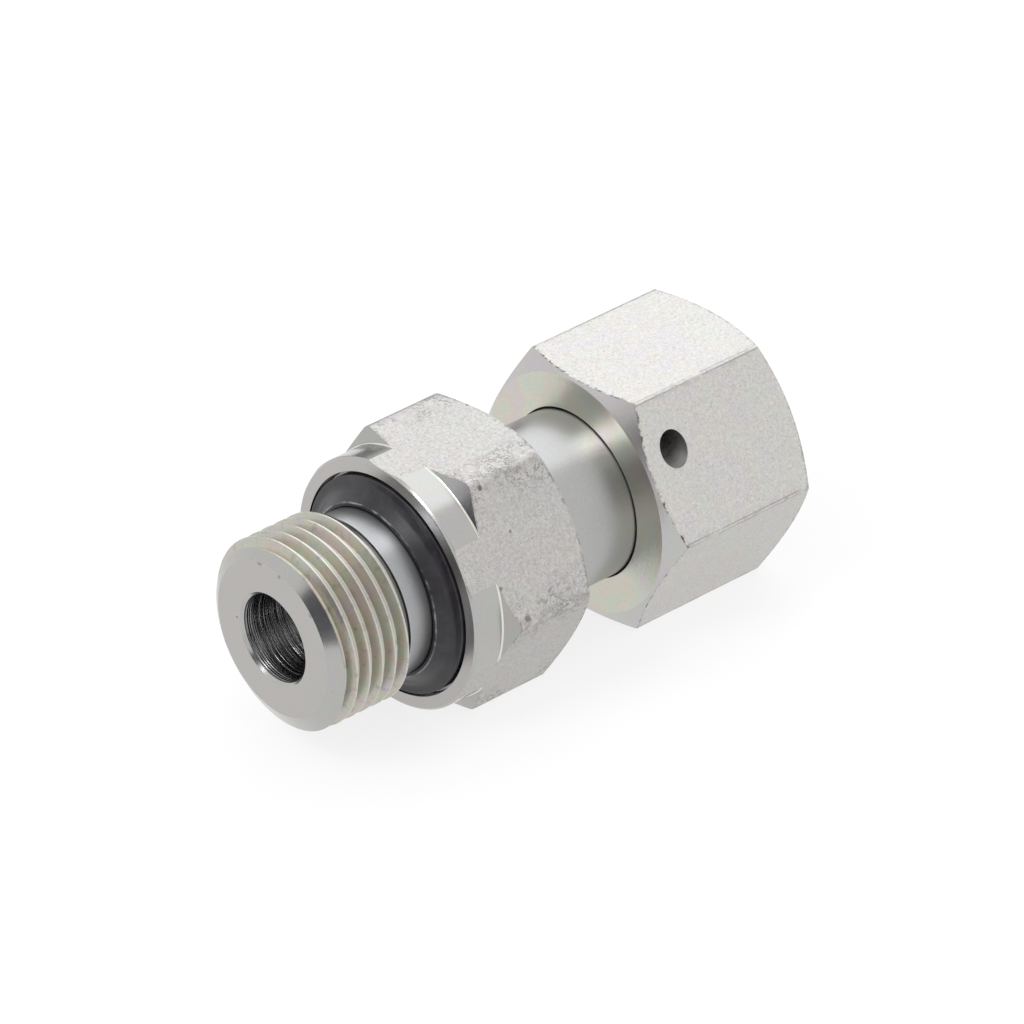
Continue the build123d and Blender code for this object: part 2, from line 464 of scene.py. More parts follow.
@dataclass(frozen=True)
class BarSteel(Zinc):
    """Zinc on cold-drawn bar: grainy flats with pits and creases, a faint film and nicked edges.

    The corner line is the dark border of the bar's rounded corners.
    """

    grain_per_mm: float = 3.2
    grain_depth: float = 0.03
    mottle: float = 1.0
    crease: float = 0.0
    edges: tuple[Edge, ...] = ()
    corner_radius: float = 12.3
    corner_wear: float = 0.3
    corner_line: float = 0.0

    def draw(self, sheet: NodeSheet, spot: Spot) -> dict[str, Term | float]:
        """Draws grain, wear, film and painted glints.

        Args:
            sheet: The node sheet to draw on.
            spot: The point of the surface.

        Returns:
            What goes into the shader, by socket.
        """
        grain = sheet.noise(spot.vector, self.grain_per_mm, 4.0, 0.62)
        sand = sheet.noise(spot.vector, self.grain_per_mm * 2.4, 2.0, 0.6)
        broad = sheet.noise(spot.vector, 0.30, 3.0, 0.6)
        hand = sheet.noise(spot.vector, 1.3, 4.0, 0.62)
        wear = self.marked(self.flat_wear(spot, sand, broad, hand), spot, grain, 0.8)
        wear = wear.most(self.corner_wears(spot, grain, sand, broad, hand))
        for edge in self.edges:
            wear = wear.most(self.nicks(edge, spot, grain, hand))
        # Painted glints: sparse bright specks mixed into the colour, standing in for the grain's sparkle
        # in the light
        painted_glints = sand.rise(0.66, 0.74) * broad.rise(0.62, 0.42)
        uneven = ((grain - 0.5) * 1.5 + (sand - 0.5) * 1.5) * self.mottle + 0.5
        tone = self.plated(sheet, uneven, 0.16, sheet.noise(spot.vector, 0.33, 1.0))
        tone = sheet.mix(painted_glints * 0.35, tone, PAINTED_GLINT)
        height = grain * 0.65 + sand * 0.35 - wear * 0.8
        return {
            "Base Color": sheet.mix(wear, tone, BRUISE),
            "Metallic": 1.0,
            "Roughness": self.roughness + (grain - 0.5) * 0.12 + wear * 0.2,
            "Normal": sheet.bump(height, self.grain_depth),
        }

    def flat_wear(self, spot: Spot, sand: Term, broad: Term, hand: Term) -> Term:
        """Creases near the bar's corners, and pits all over.

        Args:
            spot: The point of the surface.
            sand: The finest noise.
            broad: The broadest noise.
            hand: The noise that creases follow.

        Returns:
            The wear, from 0 to 1.
        """
        by_corner = spot.radius.rise(self.corner_radius - 1.3, self.corner_radius - 0.3)
        crease = abs(hand - 0.5).rise(0.035, 0.0) * broad.rise(0.42, 0.56) * by_corner * self.crease
        return crease.most(sand.rise(0.37, 0.26) * broad.rise(0.3, 0.6) * (0.35 * self.mottle))

    def corner_wears(self, spot: Spot, grain: Term, sand: Term, broad: Term, hand: Term) -> Term:
        """Scuffs on the bar's corners, and the dark line that borders them.

        Args:
            spot: The point of the surface.
            grain: The noise of the bar's grain.
            sand: The finest noise.
            broad: The broadest noise.
            hand: The noise that scuffs follow.

        Returns:
            The wear, from 0 to 1.
        """
        reach = spot.radius + (grain - 0.5) * 0.5
        on_corner = reach.rise(self.corner_radius - 0.30, self.corner_radius)
        scuff = on_corner * hand.rise(0.47, 0.62) * sand.rise(0.40, 0.62) * self.corner_wear
        border = abs(spot.radius - (self.corner_radius - 0.03)).rise(0.035, 0.005)
        return scuff.most(border * broad.rise(0.38, 0.52) * self.corner_line)

    def nicks(self, edge: Edge, spot: Spot, grain: Term, hand: Term) -> Term:
        """Nicks along the edge of a turned shoulder.

        Args:
            edge: The edge.
            spot: The point of the surface.
            grain: The noise that makes the edge ragged.
            hand: The noise that nicks follow.

        Returns:
            The wear, from 0 to 1.
        """
        from_edge = (spot.x - edge.x) * edge.inward - (spot.radius - edge.radius) * SHOULDER_SLOPE
        ragged = abs(from_edge) + (grain - 0.5) * 0.9
        on_edge = spot.radius.rise(edge.radius + 0.05, edge.radius + 0.35)
        return ragged.rise(0.24, 0.03) * on_edge * (hand.rise(0.44, 0.58) * 0.8 + 0.2) * edge.bruise


@dataclass(frozen=True)
class TurnedSteel(Zinc):
    """Zinc on a turned surface: lathe rings, satin grain and a thin rainbow film.

    The land radius is where the thread's crests get a painted highlight, and the painted shade span is
    the stretch of X along which the colour is darkened as painted shade.
    """

    rings: Rings = Rings()
    film_per_mm: float = 0.35
    satin: float = 0.4
    land_radius: float = 0.0
    grime: float = 0.0
    painted_shade_span: tuple[float, float] = (0.0, 0.0)

    def draw(self, sheet: NodeSheet, spot: Spot) -> dict[str, Term | float]:
        """Draws rings, satin grain, film, marks, a painted highlight on crests and painted shade.

        Args:
            sheet: The node sheet to draw on.
            spot: The point of the surface.

        Returns:
            What goes into the shader, by socket.
        """
        across = spot.x if self.rings.lay is Lay.AROUND else spot.radius
        wander = sheet.noise(spot.vector, self.film_per_mm, 2.0, 0.55)
        feed = sheet.node("ShaderNodeCombineXYZ", inputs={0: across * METRES}).out(0)
        rings = sheet.noise(feed, 1.0 / self.rings.width, 3.0, 0.7)
        bands = sheet.noise(feed, 0.9, 2.0, 0.6)
        fine = sheet.noise(spot.vector, 7.0, 3.0, 0.65)
        wear = self.marked(fine.rise(0.34, 0.24) * (0.3 * self.satin), spot, fine, 0.85)
        if self.grime > 0.0:
            smudge = sheet.noise(sheet.stretched(spot.vector, (0.6, 1.0, 1.0)), 1.1, 4.0, 0.6)
            wear = wear.most(smudge.rise(0.54, 0.68) * self.grime)
        # Painted shade: the colour darkens along this stretch of X
        if self.painted_shade_span[0] < self.painted_shade_span[1]:
            wear = wear.most((spot.x + (fine - 0.5) * 0.9).rise(*self.painted_shade_span) * 0.5)
        uneven = (rings - 0.5) * self.rings.shade * 4.0 + (fine - 0.5) * self.satin * 2.0 + 0.5
        tone = self.plated(sheet, uneven, 0.15, wander * 0.8 + bands * 0.2)
        # Painted highlight: the crests are lightened in the colour
        if self.land_radius > 0.0:
            on_land = spot.radius.rise(self.land_radius - 0.05, self.land_radius)
            tone = sheet.mix(on_land * 0.45, tone, PAINTED_CREST_HIGHLIGHT)
        # Pits, grime and the painted shade all take the same dark colour
        ringed = sheet.bump(rings, self.rings.depth)
        return {
            "Base Color": sheet.mix(wear, tone, SOIL_AND_PAINTED_SHADE),
            "Metallic": 1.0,
            "Roughness": self.roughness + (wander - 0.5) * 0.10,
            "Normal": sheet.bump(fine - wear, 0.004 * self.satin, ringed),
        }


@dataclass(frozen=True)
class Rubber(Finish):
    """Black nitrile rubber, a little dusty, with a faint moulding grain and a painted highlight along the
    lip.
    """

    dust: float = 0.06
    lip_highlight_radius: float = 0.0

    def draw(self, sheet: NodeSheet, spot: Spot) -> dict[str, Term | float]:
        """Draws the dust, the painted highlight along the lip and the moulding grain.

        Args:
            sheet: The node sheet to draw on.
            spot: The point of the surface.

        Returns:
            What goes into the shader, by socket.
        """
        grain = sheet.noise(spot.vector, 6.0, 3.0, 0.6)
        cloud = sheet.noise(spot.vector, 0.5, 3.0, 0.6)
        rings = (spot.radius * 42.0 + cloud * 3.0).sine()
        dust_and_lip_highlight = cloud.rise(0.35, 0.75) * self.dust + grain.rise(0.62, 0.75) * 0.06
        # Painted highlight: a light line along the lip, mixed into the colour with the dust
        if self.lip_highlight_radius > 0.0:
            from_lip = abs(spot.radius - self.lip_highlight_radius + (cloud - 0.5) * 0.15)
            dust_and_lip_highlight = dust_and_lip_highlight.most(from_lip.rise(0.09, 0.02) * cloud.rise(0.4, 0.6) * 0.7)
        return {
            "Base Color": sheet.mix(dust_and_lip_highlight, self.colour, DUST_AND_HIGHLIGHT),
            "Specular IOR Level": 0.45,
            "Roughness": self.roughness + (cloud - 0.5) * 0.2,
            "Normal": sheet.bump(grain * 0.7 + rings * 0.15, 0.006),
        }


# Modelling


@dataclass(frozen=True)
class Corner:
    """A corner of a turning profile, in millimetres along the axis and from it."""

    x: float
    radius: float
    round: float = 0.0
    cuts: int = 6


def drawn(corners: list[Corner]) -> list[Point]:
    """Draws a closed profile with its corners rounded.

    Args:
        corners: The profile's corners, in order.

    Returns:
        The points of the profile, as x and radius.
    """
    points: list[Point] = []
    count = len(corners)
    for place, corner in enumerate(corners):
        here = Vector((corner.x, corner.radius))
        if corner.round <= 0.0:
            points.append((here.x, here.y))
            continue
        before, after = corners[place - 1], corners[(place + 1) % count]
        back = (Vector((before.x, before.radius)) - here).normalized()
        ahead = (Vector((after.x, after.radius)) - here).normalized()
        half = back.angle(ahead) / 2.0
        reach = corner.round / tan(half)
        centre = here + (back + ahead).normalized() * (corner.round / sin(half))
        start, end = here + back * reach - centre, here + ahead * reach - centre
        for step in range(corner.cuts + 1):
            spoke = start.slerp(end, step / corner.cuts) * corner.round
            points.append((centre.x + spoke.x, centre.y + spoke.y))
    return points


def clear_bench() -> None:
    """Leaves edit mode and deselects everything."""
    if bpy.context.mode != "OBJECT":
        bpy.ops.object.mode_set(mode="OBJECT")
    bpy.ops.object.select_all(action="DESELECT")


def pick(piece: bpy.types.Object) -> None:
    """Selects one piece alone and makes it the active one.

    Args:
        piece: The piece.
    """
    clear_bench()
    piece.select_set(True)
    bpy.context.view_layer.objects.active = piece


def settled(name: str) -> bpy.types.Object:
    """Names the primitive that was just added and puts its place, turn and scale into its mesh.

    Args:
        name: The piece's name.

    Returns:
        The piece, with its object at the origin.
    """
    piece = bpy.context.object
    piece.name = name
    bpy.ops.object.transform_apply(location=True, rotation=True, scale=True)
    return piece


def outline(name: str, points: list[Point]) -> bpy.types.Object:
    """Draws a closed outline in the XZ plane, point by point.

    Args:
        name: Name of the new piece.
        points: The outline's points, as x and radius in millimetres.

    Returns:
        The piece, whose mesh is the outline's edges. It is left in edit mode, all selected.
    """
    clear_bench()
    bpy.ops.mesh.primitive_plane_add(size=0.1, location=(0.0, 0.0, 0.0))
    piece = bpy.context.object
    piece.name = name
    bpy.ops.object.mode_set(mode="EDIT")
    bpy.ops.mesh.select_mode(type="VERT")
    bpy.ops.mesh.select_all(action="SELECT")
    bpy.ops.mesh.merge(type="CENTER")
    bpy.ops.transform.translate(value=(points[0][0], 0.0, points[0][1]))
    for (x, radius), (next_x, next_radius) in zip(points, points[1:] + points[:1]):
        bpy.ops.mesh.extrude_region_move(
            TRANSFORM_OT_translate={"value": (next_x - x, 0.0, next_radius - radius)}
        )
    bpy.ops.mesh.select_all(action="SELECT")
    bpy.ops.mesh.remove_doubles(threshold=DOUBLE)
    return piece


def turned(name: str, corners: list[Corner], steps: int = 192) -> bpy.types.Object:
    """Turns a closed profile about the X axis, as on a lathe.

    Args:
        name: Name of the new piece.
        corners: The profile.
        steps: Facets round the axis.

    Returns:
        The turned piece, in object mode.
    """
    piece = outline(name, drawn(corners))
    bpy.ops.mesh.spin(steps=steps, angle=2.0 * pi, center=(0.0, 0.0, 0.0), axis=(1.0, 0.0, 0.0))
    close_up()
    return piece


def close_up() -> None:
    """Merges doubles, fills open ends and turns all faces outwards, and leaves edit mode."""
    bpy.ops.mesh.select_all(action="SELECT")
    bpy.ops.mesh.remove_doubles(threshold=DOUBLE)
    bpy.ops.mesh.select_all(action="SELECT")
    bpy.ops.mesh.fill_holes(sides=0)
    bpy.ops.mesh.select_all(action="SELECT")
    bpy.ops.mesh.normals_make_consistent(inside=False)
    bpy.ops.object.mode_set(mode="OBJECT")


def select_edges(piece: bpy.types.Object, wanted: Callable[[bmesh.types.BMEdge], bool]) -> None:
    """Opens a piece in edit mode with some of its edges selected.

    Args:
        piece: The piece, which is the active one.
        wanted: Says of each edge whether it is selected.
    """
    bpy.ops.object.mode_set(mode="EDIT")
    bpy.ops.mesh.select_mode(type="EDGE")
    bpy.ops.mesh.select_all(action="DESELECT")
    mesh = bmesh.from_edit_mesh(piece.data)
    for edge in mesh.edges:
        edge.select_set(wanted(edge))
    bmesh.update_edit_mesh(piece.data)


def hexagon_bar(across_flats: float, start: float, end: float, corner: float) -> bpy.types.Object:
    """A length of hexagon bar along X, with rounded corners.

    Args:
        across_flats: Width over two flats.
        start: Where it starts along X.
        end: Where it ends.
        corner: Radius of its long edges.

    Returns:
        The bar, in object mode.
    """

    def along(edge: bmesh.types.BMEdge) -> bool:
        """Whether an edge runs along the bar."""
        run = edge.verts[0].co - edge.verts[1].co
        return abs(run.x) > 0.9 * run.length

    clear_bench()
    bpy.ops.mesh.primitive_cylinder_add(
        vertices=6,
        radius=across_flats / 2.0 / cos(pi / 6.0),
        depth=end - start,
        location=((start + end) / 2.0, 0.0, 0.0),
        rotation=(0.0, pi / 2.0, 0.0),
    )
    bar = settled("bar")
    select_edges(bar, along)
    bpy.ops.mesh.bevel(offset=corner * tan(pi / 6.0), offset_type="OFFSET", segments=12, affect="EDGES")
    bpy.ops.object.mode_set(mode="OBJECT")
    return bar


def thread_shape(side: list[Point], root: float) -> list[Point]:
    """The outline of a thread's groove from one side of it and the radius in its middle."""
    return [*side, (0.0, root), *((-x, radius) for x, radius in reversed(side))]


def thread_tool(tooth: list[Point], pitch: float, start: float, turns: int) -> bpy.types.Object:
    """A cutter that leaves a right-hand thread: the shape of the groove, wound round the X axis.

    Args:
        tooth: The groove's outline, as x and radius, at the start of the winding.
        pitch: Advance along X for each turn.
        start: Where the first turn begins along X.
        turns: How many turns it has.

    Returns:
        The cutter, in object mode.
    """
    cutter = outline("thread_cutter", [(x + start, radius) for x, radius in tooth])
    bpy.ops.object.mode_set(mode="OBJECT")
    winding = cutter.modifiers.new("winding", "SCREW")
    winding.axis = "X"
    winding.angle = 2.0 * pi
    winding.screw_offset = pitch
    winding.iterations = turns
    winding.steps = winding.render_steps = 120
    winding.use_merge_vertices = False
    bpy.ops.object.modifier_apply(modifier=winding.name)
    bpy.ops.object.mode_set(mode="EDIT")
    close_up()
    return cutter


def cut(piece: bpy.types.Object, tool: bpy.types.Object, operation: str = "DIFFERENCE") -> None:
    """Works one shape with another, throws the tool away and dissolves the slivers it leaves.

    Args:
        piece: The piece that stays.
        tool: The shape that cuts it.
        operation: DIFFERENCE or INTERSECT.
    """
    pick(piece)
    step = piece.modifiers.new("cut", "BOOLEAN")
    step.operation = operation
    step.solver = "EXACT"
    step.object = tool
    bpy.ops.object.modifier_apply(modifier=step.name)
    bpy.data.objects.remove(tool, do_unlink=True)
    bpy.ops.object.mode_set(mode="EDIT")
    bpy.ops.mesh.select_all(action="SELECT")
    bpy.ops.mesh.dissolve_degenerate(threshold=SLIVER)
    bpy.ops.object.mode_set(mode="OBJECT")


def smooth(piece: bpy.types.Object, angle: float) -> None:
    """Shades curved faces smoothly, lets large faces set the normals and parts the finishes sharply.

    Args:
        piece: The piece.
        angle: Edges sharper than this stay sharp, in degrees.
    """

    def parts_finishes(edge: bmesh.types.BMEdge) -> bool:
        """Whether an edge lies between two finishes."""
        return len({face.material_index for face in edge.link_faces}) > 1

    pick(piece)
    select_edges(piece, parts_finishes)
    bpy.ops.mesh.mark_sharp()
    bpy.ops.object.mode_set(mode="OBJECT")
    bpy.ops.object.shade_smooth_by_angle(angle=radians(angle), keep_sharp_edges=True)
    even = piece.modifiers.new("even", "WEIGHTED_NORMAL")
    even.keep_sharp = True
    even.weight = 100
    bpy.ops.object.modifier_apply(modifier=even.name)


def finished(piece: bpy.types.Object, angle: float = 28.0) -> bpy.types.Object:
    """Smooths a piece and brings it from millimetres to metres.

    Args:
        piece: The piece, modelled and dressed.
        angle: Edges sharper than this stay sharp, in degrees.

    Returns:
        The same piece, with its object still at the origin.
    """
    smooth(piece, angle)
    pick(piece)
    bpy.ops.transform.resize(value=(METRES, METRES, METRES), center_override=(0.0, 0.0, 0.0))
    bpy.ops.object.transform_apply(location=True, rotation=True, scale=True)
    return piece


def dress(
    piece: bpy.types.Object,
    finishes: dict[Region, Finish],
    region: Callable[[bpy.types.MeshPolygon], Region],
) -> None:
    """Gives each region of a piece its finish.

    Args:
        piece: The piece.
        finishes: The finish of each region.
        region: Says of each face which region it belongs to.
    """
    for slot in sorted(finishes):
        piece.data.materials.append(finishes[slot].material())
    for face in piece.data.polygons:
        face.material_index = region(face)


# The coupling's pieces


@dataclass(frozen=True)
class Hexagon:
    """Sizes that the body's hexagon and the nut's have in common.

    Beyond is a radius past the bar's corners, to which both blanks are turned.
    """

    across_flats: float = 21.75
    beyond: float = 13.05
    corner_reach: float = 0.6
    flat_tolerance: float = 0.004

    def on_bar(self, y: float, z: float) -> bool:
        """Whether a point of a face along the axis lies on a flat or a corner of the bar.

        Args:
            y: The point's y in millimetres.
            z: The point's z in millimetres.

        Returns:
            True on one of the six flats, and beyond them on a corner.
        """
        apothem = self.across_flats / 2.0
        if hypot(y, z) > apothem + self.corner_reach:
            return True
        turns = (radians(turn) for turn in range(30, 390, 60))
        return any(y * cos(turn) + z * sin(turn) > apothem - self.flat_tolerance for turn in turns)


@dataclass(frozen=True)
class WireGroove:
    """The round groove for the wire, half in the body and half in the nut."""

    place: float = 23.7
    ring: float = 7.49
    radius: float = 0.95
    steps: int = 14

    def corners(self, wall: float, side: float) -> list[Corner]:
        """The groove's half as a stretch of a turning profile.

        Args:
            wall: Radius of the cylinder that it is cut into.
            side: -1 for the half in the body, drawn towards +X, and 1 for the half in the nut,
                drawn towards -X.

        Returns:
            The corners, from edge to edge.
        """
        half = sqrt(self.radius**2 - (wall - self.ring) ** 2)
        arc = [
            Corner(self.place + side * self.radius * cos(turn), self.ring + side * self.radius * sin(turn))
            for turn in (pi * step / self.steps for step in range(1, self.steps))
        ]
        return [Corner(self.place + side * half, wall), *arc, Corner(self.place - side * half, wall)]


class BodyRegion(IntEnum):
    """The body's finishes, in the order of its material slots."""

    SATIN = 0
    FACED = 1
    BAR = 2
    THREAD = 3
    BORE = 4
    CONES = 5
    UNDERCUT = 6
    SHOULDER = 7
    RIM = 8
    THREAD_END = 9


@dataclass
class StudBody:
    """The one-piece steel body: threaded stud, collar, hexagon, neck and cone nose.

    Places are along X from the sealing face. The crest at the side is the place of the thread's first
    crest, measured in the photograph at the stud's side.
    """

    hexagon: Hexagon
    groove: WireGroove
    thread_radius: float = 8.331
    thread_root: float = 7.475
    thread_pitch: float = 1.337
    thread_turns: int = 8
    crest_at_side: float = -11.47
    stud_end: float = -12.0
    stud_end_radius: float = 6.825
    chamfer_slope: float = tan(radians(60.0))
    thread_end_chamfer: float = 0.3
    undercut_start: float = -4.2
    undercut_radius: float = 7.245
    relief_width: float = 0.5
    relief_depth: float = 0.2
    relief_slope_run: float = 0.12
    bore_radius: float = 3.85
    bore_chamfer: float = 0.25
    recess_radius: float = 9.8
    recess_depth: float = 1.0
    collar_radius: float = 11.05
    collar_chamfer: float = 0.2
    collar_back: float = 2.85
    body_back: float = 12.0
    body_ring: float = 10.7
    bar_corner: float = 0.9
    neck_radius: float = 7.44
    cone_start: float = 25.15
    cone_slope: float = tan(radians(12.0))
    nose_tip: float = 32.5
    nose_chamfer: float = 0.4
    ring_place: float = 30.6
    ring_half: float = 1.0
    ring_floor: float = 4.949

    def cone(self, x: float) -> float:
        """Radius of the 24 degree cone at x."""
        return self.neck_radius - (x - self.cone_start) * self.cone_slope

    def profile(self) -> list[Corner]:
        """What the lathe leaves, from the stud's end to the nose and back along the bore.

        Returns:
            The profile's corners.
        """
        beyond = self.hexagon.beyond
        chamfer_run = (self.thread_radius - self.stud_end_radius) / self.chamfer_slope
        relief_end = self.undercut_start + self.relief_width
        relief_floor = self.undercut_radius - self.relief_depth
        ring_front, ring_back = self.ring_place - self.ring_half, self.ring_place + self.ring_half
        tip = self.cone(self.nose_tip)
        return [
            Corner(self.stud_end, self.bore_radius + self.bore_chamfer, 0.06, 3),
            Corner(self.stud_end, self.stud_end_radius, 0.12, 4),
            Corner(self.stud_end + chamfer_run, self.thread_radius, 0.1, 3),
            Corner(self.undercut_start - self.thread_end_chamfer, self.thread_radius, 0.08, 3),
            Corner(self.undercut_start, self.thread_radius - self.thread_end_chamfer, 0.08, 3),
            Corner(self.undercut_start, relief_floor, 0.08, 3),
            Corner(relief_end, relief_floor, 0.08, 3),
            Corner(relief_end + self.relief_slope_run, self.undercut_radius, 0.06, 3),
            Corner(self.recess_depth, self.undercut_radius, 0.1, 3),
            Corner(self.recess_depth, self.recess_radius, 0.1, 3),
            Corner(0.0, self.recess_radius, 0.05, 3),
            Corner(0.0, self.collar_radius - self.collar_chamfer, 0.12, 4),
            Corner(self.collar_chamfer, self.collar_radius, 0.12, 4),
            Corner(self.collar_back, self.collar_radius, 0.17, 5),
            Corner(self.collar_back + (beyond - self.collar_radius) * SHOULDER_SLOPE, beyond),
            Corner(self.body_back - (beyond - self.body_ring) * SHOULDER_SLOPE, beyond),
            Corner(self.body_back, self.body_ring, 0.05, 2),
            Corner(self.body_back, self.neck_radius, 0.8, 12),
            *self.groove.corners(self.neck_radius, -1.0),
            Corner(self.cone_start, self.neck_radius),
            Corner(ring_front, self.cone(ring_front), 0.08, 3),
            Corner(ring_front, self.ring_floor, 0.15, 4),
            Corner(ring_back, self.ring_floor, 0.15, 4),
            Corner(ring_back, self.cone(ring_back), 0.08, 3),
            Corner(self.nose_tip - self.nose_chamfer, tip + self.nose_chamfer * self.cone_slope, 0.1, 3),
            Corner(self.nose_tip, tip - self.nose_chamfer, 0.06, 3),
            Corner(self.nose_tip, self.bore_radius + self.bore_chamfer),
            Corner(self.nose_tip - self.bore_chamfer, self.bore_radius),
            Corner(self.stud_end + self.bore_chamfer, self.bore_radius),
        ]

    def thread_groove(self) -> list[Point]:
        """Outline of the pipe thread's groove, 55 degrees with a rounded root.

        Returns:
            The outline's points, as x and radius.
        """
        rounding = 0.06
        crest_half = self.thread_pitch / 2.0 - rounding
        depth = self.thread_radius - rounding - self.thread_root - rounding
        root_half = crest_half - 0.05 - depth * tan(radians(27.5))
        side = [
            (crest_half, self.thread_radius + 0.45),
            (crest_half, self.thread_radius),
            (crest_half - 0.05, self.thread_radius - rounding),
            (root_half, self.thread_root + rounding),
            (root_half * 0.55, self.thread_root + 0.012),
        ]
        return thread_shape(side, self.thread_root)

    def build(self) -> bpy.types.Object:
        """Models and dresses the body.

        Returns:
            The body, in metres.
        """
        body = turned("stud_body_worked", self.profile())
        start, end = self.stud_end - OVERSHOOT, self.nose_tip + OVERSHOOT
        cut(body, hexagon_bar(self.hexagon.across_flats, start, end, self.bar_corner), "INTERSECT")
        # Back from the measured crest: a quarter turn to the top, where the outline is drawn, half a
        # turn to the groove's middle, and a whole one to start beyond the stud's end
        first = self.crest_at_side - self.thread_pitch * (0.25 + 0.5 + 1.0)
        cut(body, thread_tool(self.thread_groove(), self.thread_pitch, first, self.thread_turns))
        dress(body, self.finishes(), self.region)
        return finished(body)

    def finishes(self) -> dict[BodyRegion, Finish]:
        """The body's finishes, with the pits and specks that the photograph shows on it.

        Returns:
            The finish of each region.
        """
        side_pits = (
            Mark(4.56, -6.61, 10.3, 0.32),
            Mark(5.83, -8.71, 6.66, 0.20, 0.8),
            Mark(7.6, -9.35, 5.55, 0.13, 0.5),
            Mark(7.47, -11.59, 1.67, 0.30, 0.5),
            Mark(2.94, -10.69, 3.23, 0.34, 0.8),
            Mark(4.53, -12.22, 0.58, 0.42, 0.8),
            Mark(3.57, -12.33, 0.39, 0.3, 0.6),
        )
        end_specks = (
            Mark(self.stud_end, 6.12, -3.18, 0.24),
            Mark(self.stud_end, 4.43, 0.03, 0.15),
            Mark(self.stud_end, 1.32, 6.73, 0.40, 0.7),
            Mark(self.stud_end, -1.13, 6.48, 0.22, 0.8),
            Mark(self.stud_end, -4.9, 4.6, 0.30, 0.6),
        )
        edges = (
            Edge(self.collar_back, self.collar_radius, inward=1.0, bruise=0.5),
            Edge(self.body_back, self.body_ring, inward=-1.0, bruise=0.5),
        )
        return {
            BodyRegion.SATIN: TurnedSteel(
                "zinc_satin_body", (0.44, 0.44, 0.437), 0.32, film=0.05, satin=0.5,
                rings=Rings(Lay.AROUND, 0.12, 0.0008, 0.10),
            ),
            BodyRegion.FACED: TurnedSteel(
                "zinc_faced_body", (0.47, 0.455, 0.445), 0.30, film=0.08, marks=end_specks,
                rings=Rings(Lay.FACED, 0.10, 0.0012, 0.15),
            ),
            BodyRegion.BAR: BarSteel(
                "zinc_bar_body", (0.535, 0.522, 0.51), 0.46, film=0.14, marks=side_pits,
                crease=0.6, mottle=1.35, edges=edges, corner_radius=12.35, corner_wear=0.6,
            ),
            # Its crests get a painted highlight
            BodyRegion.THREAD: TurnedSteel(
                "zinc_thread", (0.535, 0.52, 0.485), 0.34, film=0.60, film_per_mm=0.5, satin=0.6,
                rings=Rings(Lay.AROUND, 0.06, 0.0015, 0.25), land_radius=self.thread_radius, grime=0.28,
            ),
            BodyRegion.BORE: TurnedSteel(
                "steel_bore", (0.42, 0.42, 0.42), 0.20, film=0.03, satin=0.8,
                rings=Rings(Lay.AROUND, 0.33, 0.22, 1.0),
            ),
            BodyRegion.CONES: TurnedSteel(
                "zinc_bright_cones", (0.455, 0.453, 0.445), 0.19, film=0.22, film_per_mm=0.5, satin=0.25,
                rings=Rings(Lay.FACED, 0.10, 0.0008, 0.12),
            ),
            # Painted shade: the undercut's colour darkens towards the seal, standing in for the seal's
            # shade and its dark reflection
            BodyRegion.UNDERCUT: TurnedSteel(
                "zinc_undercut", (0.42, 0.427, 0.44), 0.30, film=0.05, satin=0.6, painted_shade_span=(-2.7, -1.2),
                rings=Rings(Lay.AROUND, 0.12, 0.0008, 0.12),
            ),
            BodyRegion.SHOULDER: TurnedSteel(
                "zinc_shoulder", (0.40, 0.40, 0.395), 0.20, film=0.30, satin=0.3,
                rings=Rings(Lay.FACED, 0.05, 0.004, 0.25),
            ),
            # Painted highlight: the collar's rounded rim is coloured much lighter than the zinc, for the
            # bright line along it
            BodyRegion.RIM: TurnedSteel(
                "zinc_rim_painted_highlight", (0.74, 0.735, 0.72), 0.14, film=0.60, film_per_mm=0.6, satin=0.1,
                rings=Rings(Lay.FACED, 0.10, 0.0005, 0.05),
            ),
            # Painted shade: the relief groove behind the thread is coloured far darker than the steel, for
            # the shade in the groove
            BodyRegion.THREAD_END: TurnedSteel(
                "steel_thread_end_painted_shade", (0.15, 0.15, 0.145), 0.30, film=0.10, satin=0.8,
                rings=Rings(Lay.FACED, 0.05, 0.002, 0.4),
            ),
        }

    def region(self, face: bpy.types.MeshPolygon) -> BodyRegion:
        """Which finish a face of the body has, by its place and the way it faces.

        Args:
            face: A face of the body, in millimetres.

        Returns:
            The face's region.
        """
        x, y, z = face.center
        away = hypot(y, z)
        lean = abs(face.normal.x)
        near = 0.02
        chamfer_start = self.undercut_start - self.thread_end_chamfer
        by_relief = chamfer_start + near < x < self.undercut_start + self.relief_width
        if away < self.bore_radius + near:
            return BodyRegion.BORE
        if lean < ALONG and 0.0 < x < self.body_back and self.hexagon.on_bar(y, z):
            return BodyRegion.BAR
        # The relief groove, which gets the painted shade of the thread end
        if by_relief and (lean > 0.3 or away < self.undercut_radius - self.relief_depth / 2.0):
            return BodyRegion.THREAD_END
        if x < self.undercut_start + near and away > self.thread_root - near and lean < 0.999:
            chamfer = self.stud_end_radius + (x - self.stud_end) * self.chamfer_slope
            on_chamfer = lean > 0.7 and abs(chamfer - away) < 0.05
            return BodyRegion.CONES if on_chamfer else BodyRegion.THREAD
        if lean > END_ON:
            return BodyRegion.FACED
        if abs(x - self.collar_back) < 0.12 and 0.03 < lean < 0.84:
            return BodyRegion.RIM
        if self.collar_back < x < self.body_back and self.collar_radius - 0.4 < away:
            return BodyRegion.SHOULDER
        if x < self.undercut_start or self.collar_radius - 0.3 < away:
            return BodyRegion.CONES
        return BodyRegion.UNDERCUT if x < self.recess_depth else BodyRegion.SATIN


class NutRegion(IntEnum):
    """The nut's finishes, in the order of its material slots."""

    TURNED = 0
    BAR = 1
    THREAD = 2
    SHOULDER = 3
    HOLE = 4


